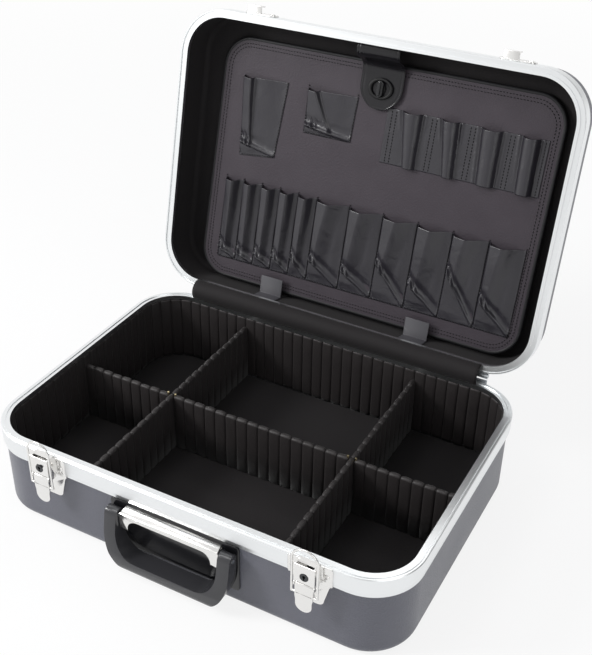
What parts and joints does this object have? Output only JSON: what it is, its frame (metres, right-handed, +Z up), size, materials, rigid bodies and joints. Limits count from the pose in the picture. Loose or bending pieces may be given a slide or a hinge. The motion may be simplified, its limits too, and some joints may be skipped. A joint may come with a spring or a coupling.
{
  "type": "hard tool case",
  "caption": "Hard tool case with aluminium frames, hinged lid, keyed draw latches, folding handle, ribbed divider grid and a pocketed tool pallet in the lid.",
  "frame": {"origin": "centre of the base's underside, on the ground", "axes": "+X to the right seen from the latches, +Y from the latches to the hinge, +Z up"},
  "size_m": [0.46, 0.4601, 0.4282],
  "materials": {
    "shell": "fine pebble grain, black",
    "frame": "satin anodised",
    "lining": "black quilted lining",
    "pad": "black foam-backed cloth",
    "divider": "black quilted board",
    "brass": "pale",
    "hinge": "satin",
    "cloth": "woven black strip",
    "nickel": "bright nickel",
    "steel": "satin",
    "gloss_black": "glossy black",
    "grip": "satin black",
    "tab": "grey sheet",
    "taupe": "grained leatherette, dark taupe",
    "pocket": "grained leatherette, charcoal",
    "knob": "glossy black"
  },
  "bodies": {
    "base": {"base_shell": "shell", "base_frame": "frame", "base_lining": "lining", "floor_pad": "pad", "hinge_leaf_base": "hinge", "hinge_pin": "hinge", "hinge_rivets_base": "hinge", "divider_left": "divider", "divider_right": "divider", "divider_mid_left": "divider", "divider_mid_centre": "divider", "divider_mid_right": "divider", "divider_pins": "brass", "latch_plate_left": "nickel", "latch_plate_right": "nickel", "lock_housing_left": "nickel", "lock_housing_right": "nickel", "latch_rivets_left": "nickel", "latch_rivets_right": "nickel", "lever_pin_left": "steel", "lever_pin_right": "steel", "handle_plate": "gloss_black", "handle_bracket": "nickel", "handle_rivets": "steel", "handle_pins": "steel"},
    "lid": {"lid_shell": "shell", "lid_frame": "frame", "lid_lining": "lining", "hinge_leaf_lid": "hinge", "hinge_rivets_lid": "hinge", "hinge_cover": "cloth", "catch_left": "nickel", "catch_right": "nickel", "catch_rivets": "nickel", "pallet_tab_left": "tab", "pallet_tab_right": "tab", "pallet_strap": "pocket", "pallet_board": "taupe", "pallet_piping": "pocket", "pocket_tall": "pocket", "pocket_short": "pocket", "tool_loops": "pocket", "pockets_narrow": "pocket", "pockets_wide": "pocket", "button_plate": "knob"},
    "button": {"turn_button": "knob"},
    "handle": {"handle_grip": "grip"},
    "lever_l": {"lever_left": "nickel"},
    "lever_r": {"lever_right": "nickel"},
    "bail_l": {"bail_left": "nickel"},
    "bail_r": {"bail_right": "nickel"},
    "core_l": {"lock_core_left": "steel"},
    "core_r": {"lock_core_right": "steel"}
  },
  "joints": [
    {"name": "lid_hinge", "type": "hinge", "parent": "base", "child": "lid", "pos_m": [0, 0.1642, 0.1042], "axis": [1, 0, 0], "range_deg": [0, 103.6], "deforming": ["hinge_cover"]},
    {"name": "handle_swing", "type": "hinge", "parent": "base", "child": "handle", "pos_m": [0, -0.166, 0.0645], "axis": [-1, 0, 0], "range_deg": [0, 95]},
    {"name": "lever_left_swing", "type": "hinge", "parent": "base", "child": "lever_l", "pos_m": [-0.144, -0.1703, 0.0774], "axis": [-1, 0, 0], "range_deg": [0, 120]},
    {"name": "bail_left_swing", "type": "hinge", "parent": "lever_l", "child": "bail_l", "pos_m": [-0.144, -0.1709, 0.067], "axis": [-1, 0, 0], "range_deg": [-150, 0]},
    {"name": "lock_left_turn", "type": "hinge", "parent": "base", "child": "core_l", "pos_m": [-0.144, -0.172, 0.0883], "axis": [0, 1, 0], "range_deg": [0, 90]},
    {"name": "lever_right_swing", "type": "hinge", "parent": "base", "child": "lever_r", "pos_m": [0.144, -0.1703, 0.0774], "axis": [-1, 0, 0], "range_deg": [0, 120]},
    {"name": "bail_right_swing", "type": "hinge", "parent": "lever_r", "child": "bail_r", "pos_m": [0.144, -0.1709, 0.067], "axis": [-1, 0, 0], "range_deg": [-150, 0]},
    {"name": "lock_right_turn", "type": "hinge", "parent": "base", "child": "core_r", "pos_m": [0.144, -0.172, 0.0883], "axis": [0, 1, 0], "range_deg": [0, 90]},
    {"name": "button_turn", "type": "hinge", "parent": "lid", "child": "button", "pos_m": [0.0025, 0.25457, 0.35881], "axis": [0, -0.9632, 0.2689], "range_deg": [0, 90]}
  ],
  "couplings": [
    {"joint": "bail_left_swing", "follows": "lever_left_swing", "ratio": -1.25},
    {"joint": "bail_right_swing", "follows": "lever_right_swing", "ratio": -1.25}
  ]
}
